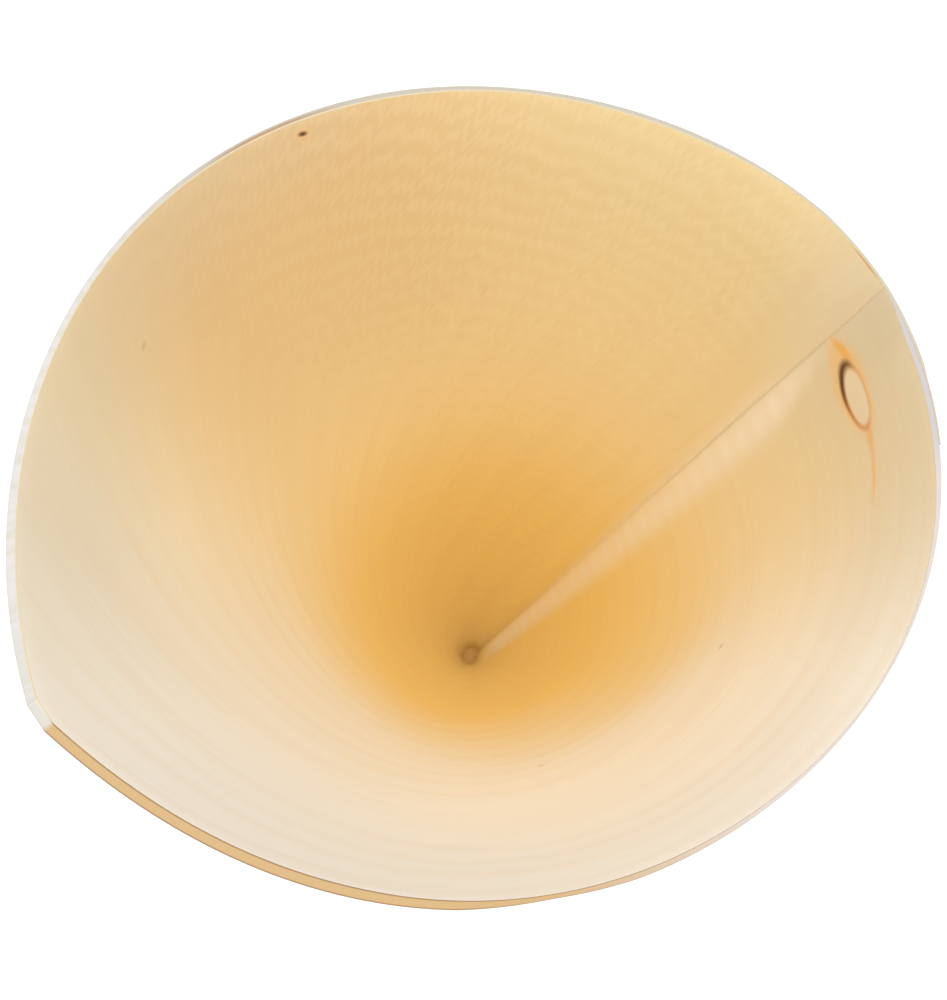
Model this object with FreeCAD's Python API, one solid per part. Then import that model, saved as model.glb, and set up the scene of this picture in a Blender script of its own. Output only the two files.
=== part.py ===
"""Wooden food cone: one sheet of softwood veneer, rolled once round, lapped and glued.

The cone lies on its side with the mouth towards -Y. Millimetres, +Z up, the floor at Z = 0.
Azimuths run round the cone's axis from the line that faces the floor, through +X.
"""
import FreeCAD, Part
import math
import os

# Veneer sheet, in the flat
SIDE = 100.0             # straight side of the blank, from its tip corner to the rim
THICKNESS = 0.6          # veneer
FIRST_EDGE_LEAN = 6.5    # degrees, the first rim edge's lean from square to the side it starts at
CORNER_ANGLE = 104.5     # degrees, between the two rim edges
CORNER_RADIUS = 1.5      # rounding of that corner
LAP_TURN = 24.0          # degrees of azimuth by which the ends of the sheet overlap

# Rolled form
HALF_ANGLE = 13.7        # degrees, between the axis and the wall, averaged round the cone
OVAL = 0.36              # degrees that the wall opens and closes, twice round: a slight oval
OVAL_AZIMUTH = 100.0     # degrees, where the oval is widest
LOBES = 0.22             # degrees that the wall opens and closes, three times round
LOBES_AZIMUTH = -20.0    # degrees, where one of the three lobes stands out
SEAM_AZIMUTH = 117.0     # degrees, where the inner free edge of the sheet runs up the wall
FLAT_AZIMUTH = 0.0       # degrees, middle of the narrow flat strip of wall that the cone lies on
FLAT_TURN = 13.0         # degrees of azimuth that the flat strip takes up
TIP_RADIUS = 0.7         # outside of the blunt tip, where the wall is one sheet thick
HOLLOW_END_RADIUS = 0.5  # inside, where the hollow stops short of the tip

FULL_TURN = 2 * math.pi
WIDEST_SECTOR = math.radians(8)   # turn that one face of the curved wall spans at most
HALVINGS = 60                     # times a search halves its range

half_angle = math.radians(HALF_ANGLE)
seam_azimuth = math.radians(SEAM_AZIMUTH)
lap_turn = math.radians(LAP_TURN)
lap_start = FULL_TURN - lap_turn
tip_plane = (TIP_RADIUS - THICKNESS / math.cos(half_angle)) / math.tan(half_angle)
hollow_plane = HOLLOW_END_RADIUS / math.tan(half_angle)
flat_turn = math.radians(FLAT_TURN)
flat_start = (math.radians(FLAT_AZIMUTH) - seam_azimuth) % FULL_TURN - flat_turn / 2
flat_finish = flat_start + flat_turn
ripples = ((2, math.radians(OVAL), math.radians(OVAL_AZIMUTH)),
           (3, math.radians(LOBES), math.radians(LOBES_AZIMUTH)))


# The turn is the angle rolled from the seam, and the sheet angle is its measure on the flat blank

def wall_angle(azimuth):
    """Angle between the axis and the wall at an azimuth."""
    return half_angle + sum(size * math.cos(times * (azimuth - crest)) for times, size, crest in ripples)


def sheet_angle(turn):
    """Angle on the flat blank, at its tip corner, that a turn from the seam uses up."""
    def swing(azimuth):
        return sum(size / times * math.sin(times * (azimuth - crest)) for times, size, crest in ripples)

    uneven = swing(seam_azimuth + turn) - swing(seam_azimuth)
    return math.sin(half_angle) * turn + math.cos(half_angle) * uneven


def turn_at(angle):
    """Turn that uses up an angle of the flat blank."""
    low, high = 0.0, FULL_TURN
    for _ in range(HALVINGS):
        middle = (low + high) / 2
        if sheet_angle(middle) < angle:
            low = middle
        else:
            high = middle
    return (low + high) / 2


# Each rim edge is a straight line: its normal points at an angle, and it lies a distance from the tip corner

first_normal = math.radians(FIRST_EDGE_LEAN)
second_normal = first_normal + math.pi - math.radians(CORNER_ANGLE)
first_distance = SIDE * math.cos(first_normal)
second_distance = SIDE * math.cos(sheet_angle(FULL_TURN) - second_normal)


def lines_meet(first, second):
    """Where two lines parallel to the rim edges meet, given their distances from the tip corner."""
    spread = math.sin(second_normal - first_normal)
    x = (first * math.sin(second_normal) - second * math.sin(first_normal)) / spread
    y = (second * math.cos(first_normal) - first * math.cos(second_normal)) / spread
    return x, y


round_x, round_y = lines_meet(first_distance - CORNER_RADIUS, second_distance - CORNER_RADIUS)


def round_end(normal):
    """Sheet angle at which the corner's rounding meets the rim edge with this normal."""
    return math.atan2(round_y + CORNER_RADIUS * math.sin(normal), round_x + CORNER_RADIUS * math.cos(normal))


round_start_angle = round_end(first_normal)
round_finish_angle = round_end(second_normal)
corner_turns = (turn_at(round_start_angle), turn_at(round_finish_angle))


def rim_slant(turn):
    """Length of the sheet from its tip corner to the rim; both plies of the lap are cut level."""
    angle = sheet_angle(turn if turn >= 0 else turn + FULL_TURN)
    if angle <= round_start_angle:
        return first_distance / math.cos(angle - first_normal)
    if angle >= round_finish_angle:
        return second_distance / math.cos(angle - second_normal)
    along = round_x * math.cos(angle) + round_y * math.sin(angle)
    aside = round_x * math.sin(angle) - round_y * math.cos(angle)
    return along + math.sqrt(max(CORNER_RADIUS ** 2 - aside ** 2, 0.0))


# Depths are measured square to the wall, outwards from the inside of the inner ply

def inner_depth(turn):
    """Inside face of the sheet: it spirals from outside the lap to inside it."""
    if turn <= 0:
        return THICKNESS
    if turn >= lap_start:
        return 0.0
    return THICKNESS * (1 + math.cos(math.pi * turn / lap_start)) / 2


def outer_depth(turn):
    """Outside face of the sheet."""
    return inner_depth(turn) + THICKNESS


def point(turn, slant, depth):
    """Point of the rolled sheet, with the axis upright and the line that will face the floor towards -Y."""
    azimuth = seam_azimuth + turn
    angle = wall_angle(azimuth)
    radius = slant * math.sin(angle) + depth * math.cos(angle)
    height = slant * math.cos(angle) - depth * math.sin(angle)
    return FreeCAD.Vector(radius * math.sin(azimuth), -radius * math.cos(azimuth), height)


def rim_point(turn, depth):
    return point(turn, rim_slant(turn), depth)


def level_point(turn, depth, plane):
    """Point of the wall on a plane square to the axis, near the tip."""
    angle = wall_angle(seam_azimuth + turn)
    slant = (plane + depth * math.sin(angle)) / math.cos(angle)
    return point(turn, slant, depth)


def hollow_point(turn, depth):
    return level_point(turn, depth, hollow_plane)


def tip_point(turn, depth):
    return level_point(turn, depth, tip_plane)


def equal_turns(start, finish, steps):
    return [start + (finish - start) * step / steps for step in range(steps + 1)]


def sectors(start, finish):
    """Narrow stretches of equal turn, one for each face of the curved wall."""
    turns = equal_turns(start, finish, math.ceil((finish - start) / WIDEST_SECTOR))
    return list(zip(turns[:-1], turns[1:]))


def curve(start, finish, place, depth_of):
    """Edge from one turn to another through points found by place(turn, depth), straight along the flat strip."""
    turns = equal_turns(start, finish, 1 if start == flat_start else 2)
    line = Part.BSplineCurve()
    line.interpolate(Points=[place(turn, depth_of(turn)) for turn in turns], Parameters=turns)
    return line.toShape()


def strip(start, finish, low_place, low_depth, high_place, high_depth):
    """Face ruled between two edges that span the same turns."""
    low = curve(start, finish, low_place, low_depth)
    high = curve(start, finish, high_place, high_depth)
    return Part.makeRuledSurface(low, high)


def lap_depth(plies):
    """Depth of a face in the lap, counted in plies from the inside."""
    return lambda turn: plies * THICKNESS


def rolled_sheet():
    """Solid of the rolled sheet, standing on its tip with its axis along Z."""
    corner_start, corner_finish = corner_turns
    single = sectors(0.0, corner_start) + sectors(corner_start, corner_finish)
    single += sectors(corner_finish, flat_start) + [(flat_start, flat_finish)]
    single += sectors(flat_finish, lap_start)
    lap = sectors(lap_start, FULL_TURN)
    faces = []
    for start, finish in single:
        faces.append(strip(start, finish, hollow_point, inner_depth, rim_point, inner_depth))
        faces.append(strip(start, finish, tip_point, outer_depth, rim_point, outer_depth))
        faces.append(strip(start, finish, rim_point, inner_depth, rim_point, outer_depth))

    # In the lap the free end lies inside and the other end lies outside, each with its own cut edge
    for start, finish in lap:
        faces.append(strip(start, finish, hollow_point, lap_depth(0), rim_point, lap_depth(0)))
        faces.append(strip(start, finish, rim_point, lap_depth(0), rim_point, lap_depth(1)))
        faces.append(strip(start, finish, rim_point, lap_depth(1), rim_point, lap_depth(2)))
        faces.append(strip(start, finish, tip_point, lap_depth(2), rim_point, lap_depth(2)))

    # The sheet's two straight sides: the inner free edge at the seam and the outer one under it
    faces.append(side_face(FULL_TURN, hollow_point, 0))
    faces.append(side_face(lap_start, tip_point, 1))

    # The closed end inside and the blunt tip outside
    faces.append(end_face(single, lap, hollow_point, inner_depth, 0, FULL_TURN, 0))
    faces.append(end_face(single, lap, tip_point, outer_depth, 2, lap_start, 1))

    shell = Part.Shell(faces)
    shell.sewShape()
    solid = Part.Solid(Part.Shell(shell.Faces))
    if solid.Volume < 0:
        solid.reverse()
    return solid


def side_face(turn, low_place, inner_ply):
    """One straight side of the sheet, a ply thick, from the tip to the rim."""
    near = inner_ply * THICKNESS
    far = near + THICKNESS
    corners = [low_place(turn, near), low_place(turn, far), rim_point(turn, far), rim_point(turn, near)]
    return Part.Face(Part.makePolygon(corners + corners[:1]))


def end_face(single, lap, place, depth_of, lap_plies, step_turn, step_ply):
    """Flat end near the tip: the wall's outline on a plane, closed by the step at one side of the sheet."""
    edges = [curve(start, finish, place, depth_of) for start, finish in single]
    edges += [curve(start, finish, place, lap_depth(lap_plies)) for start, finish in lap]
    near = step_ply * THICKNESS
    edges.append(Part.makeLine(place(step_turn, near), place(step_turn, near + THICKNESS)))
    return Part.Face(Part.Wire(Part.sortEdges(edges)[0]))


# Lying down: the flat strip rests on the floor, and the cone points along Y

def resting_turn():
    """Rotation that brings the rolled sheet from upright on its tip to lying on its flat strip."""
    ends = (flat_start, flat_finish)
    tip_start, tip_finish = [tip_point(turn, outer_depth(turn)) for turn in ends]
    rim_start, rim_finish = [rim_point(turn, outer_depth(turn)) for turn in ends]
    backward = ((tip_start + tip_finish) - (rim_start + rim_finish)).normalize()
    up = backward.cross(rim_start - rim_finish).normalize()
    return FreeCAD.Rotation(backward.cross(up), backward, up, "ZYX").inverted()


def main():
    os.makedirs("parts", exist_ok=True)
    cone = rolled_sheet()
    cone.Placement = FreeCAD.Placement(FreeCAD.Vector(), resting_turn())
    box = cone.optimalBoundingBox(False, False)
    cone.translate(FreeCAD.Vector(-box.Center.x, -box.Center.y, -box.ZMin))
    cone.exportStep("parts/rolled_cone.step")
    print("valid", cone.isValid(), "closed", cone.isClosed(), "solids", len(cone.Solids))
    print("volume", round(cone.Volume, 1))
    print("size", round(box.XLength, 2), round(box.YLength, 2), round(box.ZLength, 2))


main()
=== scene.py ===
import math

import bpy
import numpy as np
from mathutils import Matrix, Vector


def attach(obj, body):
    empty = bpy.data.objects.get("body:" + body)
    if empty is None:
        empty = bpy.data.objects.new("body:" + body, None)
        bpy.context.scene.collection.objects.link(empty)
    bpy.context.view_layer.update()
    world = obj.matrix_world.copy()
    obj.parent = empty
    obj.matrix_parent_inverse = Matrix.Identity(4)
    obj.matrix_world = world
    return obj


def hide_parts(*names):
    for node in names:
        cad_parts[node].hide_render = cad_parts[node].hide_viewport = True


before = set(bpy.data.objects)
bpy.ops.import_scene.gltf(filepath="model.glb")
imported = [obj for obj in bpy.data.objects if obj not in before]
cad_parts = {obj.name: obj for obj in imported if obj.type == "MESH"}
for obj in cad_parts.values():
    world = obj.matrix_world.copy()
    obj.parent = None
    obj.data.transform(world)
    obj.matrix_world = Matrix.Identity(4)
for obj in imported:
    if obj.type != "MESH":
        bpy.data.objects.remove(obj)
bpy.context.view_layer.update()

MM = 0.001
FULL_TURN = 2 * math.pi

# The rolled sheet, with the sizes and formulas of the solid (millimetres)

# Azimuth: round the cone's axis, from the line that faces the floor
# Turn: angle rolled from the seam, below 0 in the outer ply of the lap
# Lean: angle on the flat sheet at its tip corner, from its first side
# Slant: length on the sheet from its tip corner
# Depth: square to the wall, outwards from the inside of the inner ply

SIDE = 100.0                            # straight side of the blank
THICKNESS = 0.6
FIRST_EDGE_LEAN = math.radians(6.5)     # first rim edge, from square to the side it starts at
CORNER_ANGLE = math.radians(104.5)      # between the two rim edges
CORNER_CUT = 0.55                       # cut straight off the corner between them
LAP_TURN = math.radians(24.0)
HALF_ANGLE = math.radians(13.7)         # between the axis and the wall, averaged round the cone
RIPPLES = (                             # times round, change of the wall angle, azimuth of a crest
    (2, math.radians(0.36), math.radians(100.0)),
    (3, math.radians(0.22), math.radians(-20.0)))
SEAM_AZIMUTH = math.radians(117.0)
FLAT_TURN = math.radians(13.0)          # flat strip that the cone lies on
EASE_TURN = math.radians(4.5)           # the wall eases into it this far to either side of each end
TIP_RADIUS = 0.7                        # outside of the blunt tip
HOLLOW_END_RADIUS = 0.5                 # inside, where the hollow stops short of the tip

LAP_START = FULL_TURN - LAP_TURN
FLAT_START = (-SEAM_AZIMUTH) % FULL_TURN - FLAT_TURN / 2
FLAT_FINISH = FLAT_START + FLAT_TURN
TIP_PLANE = (TIP_RADIUS - THICKNESS / math.cos(HALF_ANGLE)) / math.tan(HALF_ANGLE)
HOLLOW_PLANE = HOLLOW_END_RADIUS / math.tan(HALF_ANGLE)
SAME_TURN = 1e-9                        # turns this close count as equal

# Where the solid lies: the point where the axis starts, and the axis with its two cross directions
APEX = np.array([-0.113126, 61.316988, 0.709881])
AXIS = np.array([0.0150704, -0.9728094, 0.2311163])
TOWARDS_FLOOR = np.array([-0.0611731, -0.2316066, -0.9708842])
SIDEWAYS = np.array([0.9980134, 0.0004935, -0.0630002])

# Trims that are finer than the solid, all within the thickness of the sheet
EDGE_ROUND = 0.05                       # rounding of the cut edges
LAP_EDGE_ROUND = 0.02                   # the same where the two plies of the lap meet
ROUND_LIMIT = 0.3                       # share of the thickness at the rim that it takes at most
GLUE_GAP = 0.012                        # the plies of the lap are drawn this far apart
OUTER_PARING = 0.42                     # taken off the outer free edge
OUTER_PARED_TURN = math.radians(12.0)   # in a ramp this wide
LAP_RIM_PARING = 0.42                   # taken off the outside of the lap at the rim
LAP_RIM_TURN = math.radians(14.0)       # fading out this far past the seam
THINNEST = 0.08                         # left of the outer ply at the rim
RIM_REACH = 6.0                         # the wall thins towards the rim over this length
RIM_CURVE = 1.5                         # more than 1: most of it close to the rim
RIM_LEFT_AT = (                         # thickness left at the rim, by degrees of lean
    (0, 0.60), (1.5, 0.38), (3, 0.22), (5, 0.20), (8, 0.40), (11, 0.40), (15, 0.34), (20, 0.46),
    (26, 0.42), (31, 0.40), (36, 0.50), (40, 0.58), (52, 0.60), (57, 0.46), (60, 0.36), (63, 0.30),
    (66, 0.22), (69, 0.14), (72, 0.16), (75, 0.26), (79, 0.42), (86, 0.45))
RIM_LEANS = [math.radians(lean) for lean, _ in RIM_LEFT_AT]
RIM_LEFT = [left for _, left in RIM_LEFT_AT]
SKIVE_SLANTS = (8.0, 25.0, 50.0, 70.0, 86.0, 94.0, 103.0)      # the inner free edge is pared:
SKIVE_WIDTHS = (1.0, 2.2, 3.2, 3.4, 4.0, 5.0, 5.0)             # how wide at each slant
SKIVE_DEPTHS = (0.05, 0.30, 0.38, 0.38, 0.42, 0.53, 0.53)      # and how deep


def wall_angle(azimuth):
    """Angle between the axis and the wall."""
    return HALF_ANGLE + sum(size * np.cos(times * (azimuth - crest)) for times, size, crest in RIPPLES)


def sheet_angle(turn):
    """Angle on the flat sheet that a turn from the seam uses up."""
    def swing(azimuth):
        return sum(size / times * np.sin(times * (azimuth - crest)) for times, size, crest in RIPPLES)

    uneven = swing(SEAM_AZIMUTH + turn) - swing(SEAM_AZIMUTH)
    return math.sin(HALF_ANGLE) * turn + math.cos(HALF_ANGLE) * uneven


def rim_lean(turn):
    """Lean at which the rim is read: the outer ply of the lap is cut level with the inner one."""
    return sheet_angle(np.where(turn >= 0, turn, turn + FULL_TURN))


def lines_meet(first_normal, first, second_normal, second):
    """Where two lines meet, each given by its normal and its distance from the tip corner."""
    spread = math.sin(second_normal - first_normal)
    x = (first * math.sin(second_normal) - second * math.sin(first_normal)) / spread
    y = (second * math.cos(first_normal) - first * math.cos(second_normal)) / spread
    return x, y


WRAP = float(sheet_angle(FULL_TURN))
FIRST_NORMAL = FIRST_EDGE_LEAN
SECOND_NORMAL = FIRST_NORMAL + math.pi - CORNER_ANGLE
FIRST_DISTANCE = SIDE * math.cos(FIRST_NORMAL)
SECOND_DISTANCE = SIDE * math.cos(WRAP - SECOND_NORMAL)
CORNER = lines_meet(FIRST_NORMAL, FIRST_DISTANCE, SECOND_NORMAL, SECOND_DISTANCE)
CUT_NORMAL = (FIRST_NORMAL + SECOND_NORMAL) / 2
CUT_DISTANCE = CORNER[0] * math.cos(CUT_NORMAL) + CORNER[1] * math.sin(CUT_NORMAL) - CORNER_CUT
RIM_LINES = (
    (FIRST_NORMAL, FIRST_DISTANCE),
    (CUT_NORMAL, CUT_DISTANCE),
    (SECOND_NORMAL, SECOND_DISTANCE))


def cut_end(normal, distance):
    """Lean at which the straight cut of the corner meets a rim edge."""
    x, y = lines_meet(normal, distance, CUT_NORMAL, CUT_DISTANCE)
    return math.atan2(y, x)


CUT_START = cut_end(FIRST_NORMAL, FIRST_DISTANCE)
CUT_FINISH = cut_end(SECOND_NORMAL, SECOND_DISTANCE)


def rim_slant(turn):
    """Length of the sheet from its tip corner to the rim."""
    lean = rim_lean(turn)
    return np.min([distance / np.cos(lean - normal) for normal, distance in RIM_LINES], axis=0)


def level_slant(turn, depth, plane):
    """Slant at which the wall meets a plane square to the axis."""
    angle = wall_angle(SEAM_AZIMUTH + turn)
    return (plane + depth * np.sin(angle)) / np.cos(angle)


def under_lap(turn):
    """Whether the sheet at this turn is the inner ply of the lap."""
    return turn >= LAP_START - SAME_TURN


def inner_depth(turn):
    """Inside face: it spirals from outside the lap to inside it."""
    share = np.clip(turn / LAP_START, 0.0, 1.0)
    return THICKNESS * (1 + np.cos(math.pi * share)) / 2


def outer_edge_paring(turn):
    """Depth pared off the outer face along the outer free edge."""
    return OUTER_PARING * np.clip(1 - (turn + LAP_TURN) / OUTER_PARED_TURN, 0.0, 1.0)


def outer_depth(turn):
    """Outside face: pared along the outer free edge, and short of the lap over it by the glue line."""
    glue = np.where(under_lap(turn), GLUE_GAP, 0.0)
    return inner_depth(turn) + THICKNESS - glue - outer_edge_paring(turn)


def skived_depth(turn, slant):
    """Depth pared off along the inner free edge, in a smooth ramp."""
    from_edge = slant * np.sin(np.minimum(WRAP - sheet_angle(turn), math.pi / 2))
    width = np.interp(slant, SKIVE_SLANTS, SKIVE_WIDTHS)
    depth = np.interp(slant, SKIVE_SLANTS, SKIVE_DEPTHS)
    share = np.clip(1 - from_edge / width, 0.0, 1.0)
    return depth * share * share * (3 - 2 * share)


def rim_ramp(slant, slant_rim):
    """From 0 where the wall starts to thin towards the rim, to 1 at the rim."""
    return np.clip(1 - (slant_rim - slant) / RIM_REACH, 0.0, 1.0) ** RIM_CURVE


def pared_inside(turn, slant, slant_rim):
    """Depth pared off the inner face: at the free edge, and where the cut edge at the rim is thin."""
    thin = THICKNESS - np.interp(rim_lean(turn), RIM_LEANS, RIM_LEFT)
    rim = np.where(turn >= 0, thin * rim_ramp(slant, slant_rim), 0.0)
    return np.maximum(rim, skived_depth(turn, slant))


def lap_paring(turn, slant, slant_rim):
    """Depth pared off the outer face of the lap where it nears the rim."""
    lap = np.clip((LAP_RIM_TURN - turn) / LAP_RIM_TURN, 0.0, 1.0)
    most = np.minimum(LAP_RIM_PARING, THICKNESS - outer_edge_paring(turn) - THINNEST)
    return most * lap * rim_ramp(slant, slant_rim)


def curved_point(turn, slant, depth):
    """Point of the wall in the cone's own frame: towards the floor, sideways, along the axis."""
    azimuth = SEAM_AZIMUTH + turn
    angle = wall_angle(azimuth)
    radius = slant * np.sin(angle) + depth * np.cos(angle)
    height = slant * np.cos(angle) - depth * np.sin(angle)
    return np.stack([radius * np.cos(azimuth), radius * np.sin(azimuth), height], -1)


def flattened_point(turn, slant, depth):
    """The same, with the flat strip that the cone lies on."""
    share = (turn - FLAT_START) / FLAT_TURN
    start = curved_point(np.full_like(turn, FLAT_START), slant, depth)
    finish = curved_point(np.full_like(turn, FLAT_FINISH), slant, depth)
    chord = start + (finish - start) * share[..., None]
    flat = (share > 0) & (share < 1)
    return np.where(flat[..., None], chord, curved_point(turn, slant, depth))


def wall_point(turn, slant, depth, through):
    """The wall stays round inside, and outside it eases into the flat strip."""
    turn, slant, depth, through = np.broadcast_arrays(turn, slant, depth, through)
    outside = flattened_point(turn, slant, depth)
    for end in (FLAT_START, FLAT_FINISH):
        before, corner, after = [flattened_point(np.full_like(turn, at), slant, depth)
                                 for at in (end - EASE_TURN, end, end + EASE_TURN)]
        share = np.clip((turn - end + EASE_TURN) / (2 * EASE_TURN), 0.0, 1.0)[..., None]
        eased = before * (1 - share) ** 2 + corner * 2 * share * (1 - share) + after * share ** 2
        outside = np.where((share > 0) & (share < 1), eased, outside)
    through = through[..., None]
    return curved_point(turn, slant, depth) * (1 - through) + outside * through


def placed(spot):
    """From the cone's own frame to where the solid lies, in metres."""
    return (APEX + spot @ np.stack([TOWARDS_FLOOR, SIDEWAYS, AXIS])) * MM


# Marks of the wood, placed on the flat sheet in millimetres

FLAT_UNIT = 100.0                       # the flat sheet's UV map counts in this many millimetres
KNOT = (11.8, 91.4)
KNOT_ACROSS = (1.36, 1.26)              # half axes of the knot's oval
KNOT_DOWN = (1.96, -0.84)
PIN_KNOT = (94.2, 39.7)
SPECKS = ((85.8, 53.8), (22.4, 69.5), (36.0, 60.9))
STREAK = (99.6, 2.0)
MARKS = ((KNOT, 9.5), (PIN_KNOT, 3.0), (STREAK, 4.0), *((spot, 2.0) for spot in SPECKS))

# Only faces near a mark or along the pared edge have the material that draws it
PLAIN, ALONG_EDGE, NEAR_MARK = range(3)
EDGE_ZONE_WIDTH = 1.0                   # at the tip corner
EDGE_ZONE_SPREAD = 0.05                 # wider by this share of the slant
SEAM_ZONE_SPREAD = 0.03                 # the same on the other side of the seam
EDGE_ZONE_END = 98.0                    # slant


def zones(x_mm, y_mm):
    """Zone of each place on the flat sheet."""
    from_edge = x_mm * math.sin(WRAP) - y_mm * math.cos(WRAP)
    slant = np.hypot(x_mm, y_mm)
    along = (from_edge < EDGE_ZONE_WIDTH + EDGE_ZONE_SPREAD * slant) | (y_mm < SEAM_ZONE_SPREAD * slant)
    zone = np.where(along & (slant < EDGE_ZONE_END) & (y_mm > 0), ALONG_EDGE, PLAIN)
    for (mark_x, mark_y), reach in MARKS:
        zone[np.hypot(x_mm - mark_x, y_mm - mark_y) < reach] = NEAR_MARK
    return zone


# Mesh of the sheet: columns round the cone, each a closed loop of rows

COLUMN_STEP = math.radians(1.1)
CORNER_STEPS = (-0.5, -0.12, 0.0, 0.12, 0.5)     # degrees, more columns at each end of the corner's cut
FREE_EDGE_STEPS = (0.15, 0.3, 0.5, 0.75)         # degrees, more columns before the inner free edge
SEARCH_COUNT = 20000                    # turns tried to find those ends
WALL_ROWS = 72
ROW_CROWDING = 0.85                     # below 1: closer rows towards the rim
EDGE_ROWS = 4
SHARP_ANGLE = math.radians(30.0)

# Material slots of the sheet
INSIDE, CUT_EDGE, PARED, MARKED, OUTSIDE, OUTSIDE_MARKED = range(6)


def columns():
    """Turns of the columns, from the outer free edge to the inner one."""
    stops = [-LAP_TURN, 0.0, FLAT_START, FLAT_FINISH, LAP_START, FULL_TURN]
    turns = []
    for start, finish in zip(stops[:-1], stops[1:]):
        count = math.ceil((finish - start) / COLUMN_STEP)
        turns += list(start + (finish - start) * np.arange(count) / count)
    turns.append(FULL_TURN)
    grid = np.linspace(0, FULL_TURN, SEARCH_COUNT)
    for corner in (CUT_START, CUT_FINISH):
        turn_of_corner = float(np.interp(corner, sheet_angle(grid), grid))
        turns += [turn_of_corner + math.radians(step) for step in CORNER_STEPS]
    turns += [FULL_TURN - math.radians(step) for step in FREE_EDGE_STEPS]
    return np.array(sorted(turns))


def sheet_rows(turn, slant_rim):
    """Slants, depths and shares of the way through: up inside, over the cut edge, down outside."""
    wall_inside, wall_outside = inner_depth(turn), outer_depth(turn)
    rim_thickness = (wall_outside - lap_paring(turn, slant_rim, slant_rim)
                     - wall_inside - pared_inside(turn, slant_rim, slant_rim))
    in_lap = (turn < 0) | under_lap(turn)
    edge_round = np.minimum(np.where(in_lap, LAP_EDGE_ROUND, EDGE_ROUND), ROUND_LIMIT * rim_thickness)
    top = slant_rim - edge_round
    inside = wall_inside + pared_inside(turn, top, slant_rim)
    outside = wall_outside - lap_paring(turn, top, slant_rim)
    low_in = level_slant(turn, wall_inside, HOLLOW_PLANE)
    low_out = level_slant(turn, wall_outside, TIP_PLANE)

    shares = np.linspace(0, 1, WALL_ROWS) ** ROW_CROWDING
    bends = np.linspace(0, math.pi / 2, EDGE_ROWS + 1)[1:]
    rows = []
    for share in shares:
        slant = low_in + (top - low_in) * share
        rows.append((slant, wall_inside + pared_inside(turn, slant, slant_rim)))
    for bend in bends:
        rows.append((top + edge_round * math.sin(bend), inside + edge_round * (1 - math.cos(bend))))
    for bend in bends[::-1]:
        rows.append((top + edge_round * math.sin(bend), outside - edge_round * (1 - math.cos(bend))))
    for share in shares[::-1]:
        slant = low_out + (top - low_out) * share
        rows.append((slant, wall_outside - lap_paring(turn, slant, slant_rim)))

    slants, depths = (np.stack(values) for values in zip(*rows))
    return slants, depths, np.clip((depths - inside) / (outside - inside), 0.0, 1.0)


def sheet_faces(row_count, column_count):
    """Faces between neighbouring rows, then the two straight sides of the sheet, each with its kind."""
    index = np.arange(row_count * column_count).reshape(row_count, column_count)
    faces, kinds = [], []
    for row in range(row_count):
        following = (row + 1) % row_count
        if row < WALL_ROWS - 1:
            kind = INSIDE
        elif row < WALL_ROWS + 2 * EDGE_ROWS:
            kind = CUT_EDGE
        else:
            kind = OUTSIDE
        quads = [index[row, :-1], index[row, 1:], index[following, 1:], index[following, :-1]]
        faces += np.stack(quads, -1).tolist()
        kinds += [kind] * (column_count - 1)
    for column, order in ((0, 1), (column_count - 1, -1)):
        for row in range(row_count // 2 - 1):
            other = row_count - 1 - row
            faces.append(index[[row, row + 1, other - 1, other], column].tolist()[::order])
            kinds.append(CUT_EDGE)
    return faces, np.array(kinds)


def zoned(kinds, faces, flat_x, flat_y):
    """Kinds of the faces, with the materials of the zones that they lie in."""
    middles = [np.array([np.mean(flat.ravel()[face]) for face in faces]) for flat in (flat_x, flat_y)]
    zone = zones(*middles)
    kinds = np.where(kinds == INSIDE, np.array((INSIDE, PARED, MARKED))[zone], kinds)
    return np.where(kinds == OUTSIDE, np.array((OUTSIDE, OUTSIDE, OUTSIDE_MARKED))[zone], kinds)


def add_uv_map(mesh, name, u, v):
    """Give every corner of every face the coordinates of its vertex."""
    values = np.stack([u, v], -1).reshape(-1, 2)
    corner_vertex = np.empty(len(mesh.loops), dtype=np.int64)
    mesh.loops.foreach_get("vertex_index", corner_vertex)
    layer = mesh.uv_layers.new(name=name)
    layer.data.foreach_set("uv", values[corner_vertex].astype(np.float32).ravel())


def finish_mesh(mesh, kinds):
    """Give the faces their materials and smooth shading, with sharp edges where they bend far."""
    mesh.polygons.foreach_set("material_index", kinds)
    mesh.polygons.foreach_set("use_smooth", [True] * len(mesh.polygons))
    mesh.validate()
    mesh.update()
    mesh.set_sharp_from_angle(angle=SHARP_ANGLE)


def sheet_mesh():
    """The sheet, with one UV map of its place when laid flat and one of the way through it."""
    turn = columns()
    slant_rim = rim_slant(turn)
    slant, depth, through = sheet_rows(turn, slant_rim)
    turns = np.broadcast_to(turn, slant.shape)
    lean = sheet_angle(turns)
    flat_x = slant * np.cos(lean)
    flat_y = slant * np.sin(lean)
    spots = placed(wall_point(turns, slant, depth, through))
    faces, kinds = sheet_faces(*slant.shape)

    mesh = bpy.data.meshes.new("cone_sheet")
    mesh.from_pydata(spots.reshape(-1, 3).tolist(), [], faces)
    add_uv_map(mesh, "sheet", flat_x / FLAT_UNIT, flat_y / FLAT_UNIT)
    # Only the way through is used; the length below the rim keeps the map from being a line
    add_uv_map(mesh, "edge", through, (slant_rim - slant) / FLAT_UNIT)
    finish_mesh(mesh, zoned(kinds, faces, flat_x, flat_y))
    return mesh


# Mesh of the crushed wood that closes the tip

TIP_STEPS = 90                          # round the tip; the lap takes up a whole number of them
DISH_RINGS = (1.0, 0.9, 0.75, 0.55, 0.3, 0.05)   # shares of the way from the axis to the outline
HOLLOW_DISH = -0.35                     # middle of the dish inside, towards the mouth from its outline
BLUNT_DISH = 0.12                       # middle of the one outside, the same
DISH_IN_WALL = 0.05                     # the one inside ends this far in the wood of the wall


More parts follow.
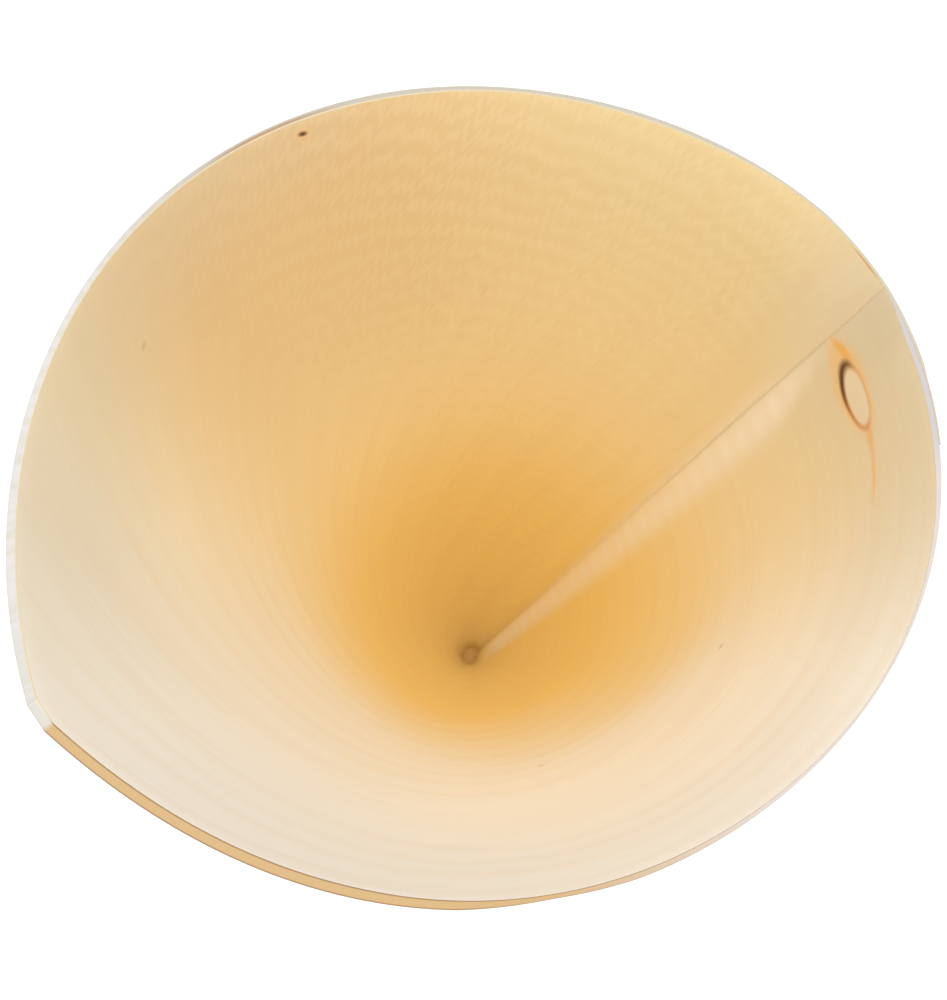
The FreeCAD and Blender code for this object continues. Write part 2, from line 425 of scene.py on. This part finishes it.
def dish(turn, depth, plane, deepest, into_wall, through):
    """Rings of a shallow dish, from the wall on a plane near the tip to the axis."""
    outline = wall_point(turn, level_slant(turn, depth, plane), depth + into_wall, through)
    centre = np.array([0.0, 0.0, plane])
    rings = []
    for share in DISH_RINGS:
        ring = centre + (outline - centre) * share
        ring[:, 2] = plane + deepest * (1 - share ** 2)
        rings.append(ring)
    return np.stack(rings)


def dish_faces(index):
    """Faces of a dish from the indices of its rings, with the innermost ring as one face."""
    faces = [index[-1].tolist()]
    ring_count, step_count = index.shape
    for ring in range(ring_count - 1):
        for step in range(step_count):
            following = (step + 1) % step_count
            faces.append([int(index[ring, step]), int(index[ring, following]),
                          int(index[ring + 1, following]), int(index[ring + 1, step])])
    return faces


def plug_side(high, low):
    """Side of the plug between its two outlines, with a triangle at the step in each."""
    lap_steps = round(TIP_STEPS * LAP_TURN / FULL_TURN)
    faces = [[high[-1], low[lap_steps], high[0]], [high[TIP_STEPS - lap_steps], low[-1], low[0]]]
    for step in range(TIP_STEPS):
        under = (step + lap_steps) % TIP_STEPS
        faces.append([high[step], low[under], low[under + 1], high[step + 1]])
    return faces


def tip_mesh():
    """A plug: slot 0 is the dish seen inside, slot 1 the blunt end outside and the hidden side."""
    above = np.linspace(0.0, FULL_TURN, TIP_STEPS + 1)
    below = np.linspace(-LAP_TURN, LAP_START, TIP_STEPS + 1)
    high = dish(above, inner_depth(above), HOLLOW_PLANE, HOLLOW_DISH, DISH_IN_WALL, 0.0)
    low = dish(below, outer_depth(below), TIP_PLANE, BLUNT_DISH, 0.0, 1.0)
    index = np.arange(2 * high[..., 0].size).reshape(2, *high.shape[:2])
    inside = dish_faces(index[0])
    outside = [face[::-1] for face in dish_faces(index[1])]
    outside += plug_side(index[0, 0].tolist(), index[1, 0].tolist())

    mesh = bpy.data.meshes.new("cone_tip")
    mesh.from_pydata(placed(np.stack([high, low]).reshape(-1, 3)).tolist(), [], inside + outside)
    finish_mesh(mesh, [0] * len(inside) + [1] * len(outside))
    return mesh


# Writing materials

MIX_SHARE, MIX_A, MIX_B, MIX_RESULT = 0, 6, 7, 2     # sockets of a mix node that mixes colours
RANGE_INPUTS = 5                                     # value, from low, from high, to low, to high


class Nodes:
    """A new material, and a short way to write its node tree."""

    def __init__(self, name):
        self.material = bpy.data.materials.new(name)
        self.material.use_nodes = True
        self.tree = self.material.node_tree
        self.tree.nodes.clear()

    def add(self, kind, **settings):
        node = self.tree.nodes.new(kind)
        for name, value in settings.items():
            setattr(node, name, value)
        return node

    def join(self, value, socket):
        """Link another node's output to a socket, or set the socket to a number or colour."""
        if isinstance(value, (int, float, tuple)):
            socket.default_value = value
        else:
            self.tree.links.new(value, socket)

    def math(self, operation, *values):
        node = self.add("ShaderNodeMath", operation=operation)
        for value, socket in zip(values, node.inputs):
            self.join(value, socket)
        return node.outputs[0]

    def plus(self, a, b):
        return self.math("ADD", a, b)

    def minus(self, a, b):
        return self.math("SUBTRACT", a, b)

    def times(self, a, b):
        return self.math("MULTIPLY", a, b)

    def times_plus(self, a, b, c):
        return self.math("MULTIPLY_ADD", a, b, c)

    def larger(self, a, b):
        return self.math("MAXIMUM", a, b)

    def length(self, x, y):
        return self.math("SQRT", self.times_plus(x, x, self.times(y, y)))

    def band(self, value, low, high, start=0.0, finish=1.0):
        """Smooth step from start to finish as the value goes from low to high."""
        node = self.add("ShaderNodeMapRange", interpolation_type="SMOOTHSTEP")
        for item, socket in zip((value, low, high, start, finish), node.inputs[:RANGE_INPUTS]):
            self.join(item, socket)
        return node.outputs[0]

    def fade(self, value, low, high, start=1.0):
        """Smooth step from start down to 0."""
        return self.band(value, low, high, start, 0.0)

    def window(self, value, rise, risen, fall, fallen):
        """1 between risen and fall, 0 outside rise and fallen."""
        return self.times(self.band(value, rise, risen), self.fade(value, fall, fallen))

    def uv(self, name):
        return self.add("ShaderNodeUVMap", uv_map=name).outputs[0]

    def split(self, vector):
        """First two coordinates of a vector."""
        node = self.add("ShaderNodeSeparateXYZ")
        self.join(vector, node.inputs[0])
        return node.outputs[0], node.outputs[1]

    def vector(self, x, y):
        node = self.add("ShaderNodeCombineXYZ")
        for value, socket in zip((x, y), node.inputs):
            self.join(value, socket)
        return node.outputs[0]

    def noise(self, vector, scale, detail, roughness=0.5):
        node = self.add("ShaderNodeTexNoise", noise_dimensions="2D")
        self.join(vector, node.inputs["Vector"])
        node.inputs["Scale"].default_value = scale
        node.inputs["Detail"].default_value = detail
        node.inputs["Roughness"].default_value = roughness
        return node.outputs[0]

    def mix(self, share, a, b):
        node = self.add("ShaderNodeMix", data_type="RGBA", clamp_factor=True)
        for value, socket in ((share, MIX_SHARE), (a, MIX_A), (b, MIX_B)):
            self.join(value, node.inputs[socket])
        return node.outputs[MIX_RESULT]

    def surface(self, shader):
        self.join(shader.outputs[0], self.add("ShaderNodeOutputMaterial").inputs[0])

    def wood(self, colour, roughness):
        """Make the surface matt wood of this colour."""
        shader = self.add("ShaderNodeBsdfPrincipled")
        self.join(colour, shader.inputs["Base Color"])
        shader.inputs["Roughness"].default_value = roughness
        self.surface(shader)
        return shader


def linear(red, green, blue):
    """Colour given in 0-255 display values, as the linear values that nodes take."""
    def one(value):
        value /= 255
        return value / 12.92 if value <= 0.04045 else ((value + 0.055) / 1.055) ** 2.4

    return (one(red), one(green), one(blue), 1.0)


# Wood of the two faces

# In these nodes slants and flat coordinates count 100 mm, and leans count radians: the left of the
# mouth is at about 0.63, the corner at 0.78, the bottom at 1.0 and the right at 1.38

AMBER_BOUNCE_LIGHT = linear(250, 223, 150)           # low in the cone, as painted light: the warm light that bounces deep in the cone
STRAW = linear(250, 229, 181)           # higher up
SAPWOOD_AND_LIGHT = linear(252, 246, 235)         # towards the corner and beyond: paler wood, and painted light where the light falls straight on the wall
DULL = linear(234, 213, 163)            # away from the corner
DULL_GREY = linear(230, 216, 184)
TAN_SHADE = linear(224, 188, 134)             # top left, painted shade where the light doesn't reach
# painted shade near the rim on the left and the right
RIM_SHADE = linear(192, 186, 172)
LATE_WOOD = linear(230, 190, 130)
# painted highlight on the crests of the knife's ripples
RIPPLE_HIGHLIGHT = linear(253, 236, 196)
# pared wood, paler also as a painted highlight where its ramp faces the light
PARED_WOOD_AND_HIGHLIGHT = linear(252, 241, 222)
OUTSIDE_WOOD = linear(238, 209, 160)
OUTSIDE_SAPWOOD = linear(243, 224, 187)
OUTSIDE_LATE_WOOD = linear(206, 160, 102)

GRAIN_LEAN = math.radians(-4.0)
RING_SPACING = 3.4                      # growth rings, in arches about this place across the grain:
RING_MIDDLE = 81.5
RING_BLUNTNESS = 60.0                   # how blunt the arches are
RING_DRIFT = 0.07                       # how fast they move along the grain
RING_WANDER = 7.0                       # how far they wander
RING_FRAYING = 1.4                      # how far the fibres fray them
RIPPLE_SPACING = 2.6                    # ripples left by the veneer knife
RIPPLE_FRAYING = 9.0
WANDER_SCALE = (0.014, 0.06)            # noise that the rings and the pale wood follow
FIBRE_SCALE = (0.05, 2.4)
FIBRE_ROUGHNESS = 0.6
OUTSIDE_CONTRAST = 1.8                  # rings and fibres outside, against those inside
STRIPE_SPACING = 0.031                  # faint lines across the pared edge, in 100 mm
VENEER_ROUGHNESS = 0.62
VENEER_SHINE = 0.3

# Stains round the knot: centre, two half axes, where the stain starts and ends fading, share, colour
KNOT_STAINS = (
    ((14.7, 91.4), (1.6, -0.30), (0.10, 0.55), (0.10, 1.25), 0.62, linear(240, 180, 104)),
    ((8.8, 92.0), (1.40, 0.40), (0.25, 0.66), (0.25, 1.15), 0.85, linear(244, 184, 96)),
    ((17.2, 90.85), (2.8, -0.80), (0.12, 0.42), (0.0, 1.15), 0.62, linear(244, 188, 118)),
)


def oval_place(n, flat, centre, first, second):
    """Coordinates of a point counted in the half axes of an oval that is given in millimetres."""
    spread = (first[0] * second[1] - first[1] * second[0]) / FLAT_UNIT
    dx = n.minus(flat[0], centre[0] / FLAT_UNIT)
    dy = n.minus(flat[1], centre[1] / FLAT_UNIT)
    s = n.times_plus(dx, second[1] / spread, n.times(dy, -second[0] / spread))
    t = n.times_plus(dx, -first[1] / spread, n.times(dy, first[0] / spread))
    return s, t


def oval(n, place, centre=(0.0, 0.0), size=(1.0, 1.0)):
    """Distance from an oval's centre: 1 on the oval."""
    s = n.times_plus(place[0], 1 / size[0], -centre[0] / size[0])
    t = n.times_plus(place[1], 1 / size[1], -centre[1] / size[1])
    return n.length(s, t)


def grain_noise(n, along, across, scale, detail, roughness=0.5):
    """Noise whose scale counts waves per millimetre along the grain and across it."""
    place = n.vector(n.times(along, scale[0]), n.times(across, scale[1]))
    return n.noise(place, 1.0, detail, roughness)


def stained(n, colour, distance, fade, share, stain):
    """Colour with a stain in an oval, which fades out between two distances from its centre."""
    return n.mix(n.fade(distance, *fade, share), colour, stain)


def add_pared_edge(n, colour, flat, slant, lean):
    """Paler wood on the pared free edge, partly a painted highlight where its ramp faces the light, and
    painted light a little beyond the seam that evens out the shade of the step, crossed by faint lines.
    """
    sine, cosine = FLAT_UNIT * math.sin(WRAP), FLAT_UNIT * math.cos(WRAP)
    from_edge = n.times_plus(flat[0], sine, n.times(flat[1], -cosine))
    width = n.times(n.band(slant, 0.03, 0.60, 1.8, 3.1), n.band(slant, 0.78, 0.93, 1.0, 0.25))
    share = n.math("DIVIDE", from_edge, width)
    pared = n.times(n.band(share, 0.0, 0.30, 0.62, 1.0), n.fade(share, 0.45, 1.15))
    # Painted light a little beyond the seam, evening out the shade along the step
    pared = n.larger(pared, n.fade(lean, 0.0, 0.022, 0.55))
    pared = n.times(pared, n.window(slant, 0.03, 0.10, 0.80, 0.93))
    stripe = n.math("SINE", n.times(slant, FULL_TURN / STRIPE_SPACING))
    return n.mix(n.times(pared, n.times_plus(stripe, 0.09, 0.84)), colour, PARED_WOOD_AND_HIGHLIGHT)


def add_knot(n, colour, flat):
    """Pale core in a dark ring, with stained wood round it, a pointed stain and a tail of resin."""
    place = oval_place(n, flat, KNOT, KNOT_ACROSS, KNOT_DOWN)
    around = oval(n, place, (-0.20, -0.20), (1.7, 1.65))
    colour = stained(n, colour, around, (0.55, 1.05), 0.75, linear(244, 198, 128))
    for centre, first, second, fade, share, stain in KNOT_STAINS:
        spot = oval_place(n, flat, centre, first, second)
        colour = stained(n, colour, oval(n, spot), fade, share, stain)

    # The ring lies between two ovals; it is darkest at the top left and faint on the right
    core = oval(n, place, (0.11, 0.03), (0.82, 0.91))
    ring = n.times(n.fade(oval(n, place), 0.88, 1.16, 0.95), n.band(core, 0.80, 1.14))
    to_top_left = n.times_plus(place[0], -0.85, n.times(place[1], -0.55))
    to_right = n.times_plus(place[0], 0.95, n.times(place[1], -0.40))
    ring = n.times(ring, n.band(to_right, 0.15, 0.75, 1.0, 0.35))
    ring_colour = n.mix(n.band(to_top_left, -0.15, 0.75), linear(198, 118, 62), linear(84, 38, 16))
    colour = n.mix(n.band(core, 1.0, 0.85, 0.0, 0.85), colour, linear(236, 222, 194))
    return n.mix(ring, colour, ring_colour)


def add_specks(n, colour, flat):
    """Pin knot, specks and a brown streak at the rim."""
    pin = oval_place(n, flat, PIN_KNOT, (0.13, 0.42), (0.27, -0.09))
    colour = stained(n, colour, oval(n, pin, size=(2.2, 2.8)), (0.2, 1.1), 0.45, linear(240, 188, 126))
    colour = stained(n, colour, oval(n, pin), (0.2, 1.15), 0.95, linear(84, 42, 18))
    for spot in SPECKS:
        speck = oval_place(n, flat, spot, (0.35, 0.0), (0.0, 0.35))
        colour = stained(n, colour, oval(n, speck), (0.3, 1.2), 0.35, linear(190, 140, 80))
    streak = oval_place(n, flat, STREAK, (-0.22, 1.75), (0.15, 0.02))
    return stained(n, colour, oval(n, streak), (0.3, 1.1), 0.6, linear(200, 136, 74))


def inside_colour(n, slant, lean, wander, pale_side):
    """Broad colour inside, from the tip to the rim and round the mouth, with painted light and shade in
    it: deeper amber low in the cone, paler towards the corner, darker at the top left and near the rim
    on the left and right.
    """
    # Painted light: deeper amber low in the cone, where light bounces between the walls
    colour = n.mix(n.band(slant, 0.38, 0.70), AMBER_BOUNCE_LIGHT, STRAW)

    # Paler towards the corner and beyond: paler wood, and painted light where the light falls straight
    # on the wall
    later = n.band(lean, 1.05, 1.35, 0.0, -0.17)
    pale = n.band(n.plus(n.times_plus(wander, 0.30, slant), later), 0.48, 0.84)
    colour = n.mix(n.times(pale, pale_side), colour, SAPWOOD_AND_LIGHT)

    from_corner = n.math("ABSOLUTE", n.minus(lean, 0.94))
    dull = n.times(n.band(slant, 0.50, 0.95), n.band(from_corner, 0.36, 0.60))
    by_the_seam = n.times(n.fade(lean, 0.0, 0.09), n.band(slant, 0.78, 0.94))
    greyer = n.larger(n.band(lean, 1.0, 1.3), by_the_seam)
    colour = n.mix(n.times(dull, 0.9), colour, n.mix(greyer, DULL, DULL_GREY))

    # Painted shade: darker tan at the top left, which the light doesn't reach
    tan = n.times(n.band(slant, 0.55, 1.0, 0.0, 0.8), n.window(lean, 0.15, 0.40, 0.48, 0.68))
    colour = n.mix(tan, colour, TAN_SHADE)

    # Painted shade: darker near the rim on the left and on the right
    left = n.times(n.window(lean, 0.30, 0.42, 0.66, 0.80), n.band(slant, 0.90, 1.10, 0.0, 0.26))
    right = n.times(n.band(lean, 1.22, 1.36), n.band(slant, 0.78, 1.02, 0.0, 0.32))
    return n.mix(n.plus(left, right), colour, RIM_SHADE)


def veneer_material(name, pared_edge=False, marks=False, outside=False):
    """Wood of one face of the sheet, with what the zone that it is for shows."""
    n = Nodes(name)
    flat = n.split(n.uv("sheet"))
    cosine, sine = FLAT_UNIT * math.cos(GRAIN_LEAN), FLAT_UNIT * math.sin(GRAIN_LEAN)
    along = n.times_plus(flat[0], cosine, n.times(flat[1], sine))
    across = n.times_plus(flat[1], cosine, n.times(flat[0], -sine))
    slant = n.length(*flat)
    lean = n.math("ARCTAN2", flat[1], flat[0])
    wander = grain_noise(n, along, across, WANDER_SCALE, 0.0)
    pale_side = n.window(lean, 0.50, 0.86, 1.20, 1.45)
    if outside:
        colour = n.mix(pale_side, OUTSIDE_WOOD, OUTSIDE_SAPWOOD)
        late_wood, contrast = OUTSIDE_LATE_WOOD, OUTSIDE_CONTRAST
    else:
        colour = inside_colour(n, slant, lean, wander, pale_side)
        late_wood, contrast = LATE_WOOD, 1.0

    # Growth rings in arches, and fine fibres along the grain
    fibre = grain_noise(n, along, across, FIBRE_SCALE, 1.0, FIBRE_ROUGHNESS)
    ring_height = n.times_plus(wander, RING_WANDER, n.minus(across, RING_MIDDLE))
    ring = n.math("SQRT", n.times_plus(ring_height, ring_height, RING_BLUNTNESS))
    ring = n.plus(n.times_plus(along, RING_DRIFT, ring), n.times(fibre, RING_FRAYING))
    wave = n.math("SINE", n.times(ring, FULL_TURN / RING_SPACING))
    colour = n.mix(n.band(wave, -0.2, 1.0, 0.0, 0.06 * contrast), colour, late_wood)
    colour = n.mix(n.band(fibre, 0.35, 0.75, 0.0, 0.07 * contrast), colour, late_wood)

    if not outside:
        # Ripples left by the veneer knife, drawn as paler stripes: a painted highlight on their crests
        frayed = n.times_plus(along, FULL_TURN / RIPPLE_SPACING, n.times(fibre, RIPPLE_FRAYING))
        ripple_highlight = n.math("SINE", frayed)
        ripple_highlight = n.times(n.band(ripple_highlight, -0.6, 1.0, 0.0, 0.15), n.window(lean, 0.0, 0.08, 0.25, 0.65))
        colour = n.mix(ripple_highlight, colour, RIPPLE_HIGHLIGHT)
    if pared_edge:
        colour = add_pared_edge(n, colour, flat, slant, lean)
    if marks:
        colour = add_specks(n, colour, flat)
        if not outside:
            colour = add_knot(n, colour, flat)
    shader = n.wood(colour, VENEER_ROUGHNESS)
    shader.inputs["Specular IOR Level"].default_value = VENEER_SHINE
    return n.material


# Other materials

CUT_WOOD_ROUGHNESS = 0.8
EDGE_COLOURS = {
    "pale": linear(217, 213, 212),      # left
    "paler": linear(209, 207, 197),
    "grey": linear(184, 176, 158),      # top
    "cut": linear(196, 192, 183),       # straight cut of the corner
    "lower": linear(202, 192, 184),     # right
    "golden_shade": linear(192, 160, 112),    # bottom left, painted shade where the edge faces down
    "under": linear(187, 181, 180),     # beside the inner free edge
    "brown": linear(172, 130, 84),      # patch at the top left, painted shade
    "arris_highlight": linear(224, 206, 160),    # painted highlight on the inner arris on the left
    # painted shade along the arrises, with their fuzzed fibres
    "arris_shade": linear(136, 100, 66),
}


def edge_material():
    """Cut edge: pale on one side of the corner, golden with painted shade on the other where it faces
    down, with painted shade along the arrises and in a patch at the top left, and a painted highlight
    on the inner arris on the left.
    """
    n = Nodes("veneer_edge")
    sheet_uv = n.uv("sheet")
    x_flat, y_flat = n.split(sheet_uv)
    through, _ = n.split(n.uv("edge"))
    lean = n.math("ARCTAN2", y_flat, x_flat)
    grit = n.noise(sheet_uv, 160.0, 1.0)
    # Painted shade on the golden part, where the edge faces down
    golden_shade = n.window(lean, CUT_FINISH - 0.002, CUT_FINISH + 0.001, 0.98, 1.16)
    # Painted shade in a patch at the top left
    brown = n.times(n.window(lean, 0.36, 0.41, 0.43, 0.48), n.window(through, 0.2, 0.3, 0.6, 0.7))
    # Painted highlight on the inner arris on the left
    arris_highlight = n.times(n.band(through, 0.22, 0.10), n.band(lean, CUT_FINISH, CUT_FINISH - 0.01, 0.0, 0.7))
    # Painted shade along the arrises, darkest on the golden part
    arris_shade = n.larger(n.band(through, 0.16, 0.04), n.band(through, 0.80, 0.92))

    colour = n.mix(n.band(grit, 0.3, 0.7), EDGE_COLOURS["pale"], EDGE_COLOURS["paler"])
    for name, share in (
            ("grey", n.fade(lean, 0.40, 0.60, 0.9)),
            ("cut", n.band(lean, CUT_START - 0.002, CUT_START + 0.001)),
            ("lower", n.band(lean, 1.0, 1.12)),
            ("golden_shade", golden_shade),
            ("under", n.band(lean, 1.36, 1.40)),
            ("brown", n.times(brown, 0.8)),
            ("arris_highlight", arris_highlight),
            ("arris_shade", n.times(arris_shade, n.times_plus(golden_shade, 0.7, 0.06)))):
        colour = n.mix(share, colour, EDGE_COLOURS[name])
    n.wood(colour, CUT_WOOD_ROUGHNESS)
    return n.material


def tip_material(name, colour):
    """Crushed wood."""
    n = Nodes(name)
    n.wood(colour, CUT_WOOD_ROUGHNESS)
    return n.material


def glowing_material(name, strength):
    """Plain white of the floor and the backdrop, which lights the object softly from all round."""
    n = Nodes(name)
    shader = n.add("ShaderNodeEmission")
    shader.inputs["Color"].default_value = (1.0, 1.0, 1.0, 1.0)
    shader.inputs["Strength"].default_value = strength
    n.surface(shader)
    return n.material


# The object

def add_object(name, data):
    """New object with this data, linked to the scene."""
    thing = bpy.data.objects.new(name, data)
    bpy.context.scene.collection.objects.link(thing)
    return thing


sheet_materials = {
    INSIDE: veneer_material("veneer"),
    CUT_EDGE: edge_material(),
    PARED: veneer_material("veneer_pared", pared_edge=True),
    MARKED: veneer_material("veneer_marked", pared_edge=True, marks=True),
    OUTSIDE: veneer_material("veneer_outside", outside=True),
    OUTSIDE_MARKED: veneer_material("veneer_outside_marked", marks=True, outside=True),
}

sheet = add_object("cone_sheet", sheet_mesh())
for slot in sorted(sheet_materials):
    sheet.data.materials.append(sheet_materials[slot])
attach(sheet, "root")
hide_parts("rolled_cone")

tip = add_object("cone_tip", tip_mesh())
tip.data.materials.append(tip_material("tip_wood_inside", linear(190, 144, 78)))
tip.data.materials.append(tip_material("tip_wood_outside", linear(222, 188, 134)))
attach(tip, "root")

# Studio (metres)

BACKDROP_HALF_WIDTH = 8.0
BACKDROP_FRONT, BACKDROP_BACK = -8.0, 8.0
BACKDROP_HEIGHT = 4.5
BACKDROP_RADIUS = 2.0                   # of the curve between the floor and the wall
BACKDROP_STEPS = 24                     # in that curve
BACKDROP_GLOW = 1.14
WORLD_LIGHT = 0.42
LIGHTS = (                              # name, position, target, width, height, power
    ("front", (0.05, -1.5, 0.50), (0.0, 0.0, 0.02), 0.9, 0.7, 17.5),
    ("top", (-0.15, -0.45, 1.1), (0.0, -0.03, 0.02), 0.7, 0.5, 1.8),
    ("back", (-0.5, 1.0, 1.0), (0.0, 0.0, 0.02), 0.9, 0.7, 5.0),
)
CAMERA_POSITION = (-0.0073493, -0.155405, 0.025337)
CAMERA_TURNS = (88.04745757, 3.53214031, -2.41480434)     # degrees about X, Y and Z
CAMERA_LENS, CAMERA_SENSOR = 72.45, 36.0                  # millimetres, the sensor's height
CAMERA_CLIP_START = 0.005


def sweep_backdrop():
    """Floor that curves up into a wall behind the object."""
    outline = [(BACKDROP_FRONT, 0.0)]
    for step in range(BACKDROP_STEPS + 1):
        bend = math.pi / 2 * step / BACKDROP_STEPS
        outline.append((BACKDROP_BACK - BACKDROP_RADIUS + BACKDROP_RADIUS * math.sin(bend),
                        BACKDROP_RADIUS - BACKDROP_RADIUS * math.cos(bend)))
    outline.append((BACKDROP_BACK, BACKDROP_HEIGHT))
    spots = [(side * BACKDROP_HALF_WIDTH, y, z) for y, z in outline for side in (-1, 1)]
    faces = [(2 * k, 2 * k + 1, 2 * k + 3, 2 * k + 2) for k in range(len(outline) - 1)]
    mesh = bpy.data.meshes.new("backdrop")
    mesh.from_pydata(spots, [], faces)
    mesh.polygons.foreach_set("use_smooth", [True] * len(faces))
    mesh.update()
    return mesh


def area_light(name, position, target, width, height, power):
    """Rectangular light that faces its target."""
    light = bpy.data.lights.new(name, "AREA")
    light.shape = "RECTANGLE"
    light.size = width
    light.size_y = height
    light.energy = power
    lamp = add_object(name, light)
    lamp.location = position
    lamp.rotation_euler = (Vector(target) - Vector(position)).to_track_quat("-Z", "Y").to_euler()


backdrop = add_object("backdrop", sweep_backdrop())
backdrop.data.materials.append(glowing_material("studio_white", BACKDROP_GLOW))

for light_values in LIGHTS:
    area_light(*light_values)

world = bpy.data.worlds.new("studio")
world.use_nodes = True
background = world.node_tree.nodes["Background"]
background.inputs["Color"].default_value = (1.0, 1.0, 1.0, 1.0)
background.inputs["Strength"].default_value = WORLD_LIGHT
bpy.context.scene.world = world
bpy.context.scene.view_settings.view_transform = "Standard"

camera_data = bpy.data.cameras.new("camera")
camera_data.sensor_fit = "VERTICAL"
camera_data.sensor_height = CAMERA_SENSOR
camera_data.lens = CAMERA_LENS
camera_data.clip_start = CAMERA_CLIP_START
camera = add_object("camera", camera_data)
camera.location = CAMERA_POSITION
camera.rotation_euler = [math.radians(angle) for angle in CAMERA_TURNS]
bpy.context.scene.camera = camera
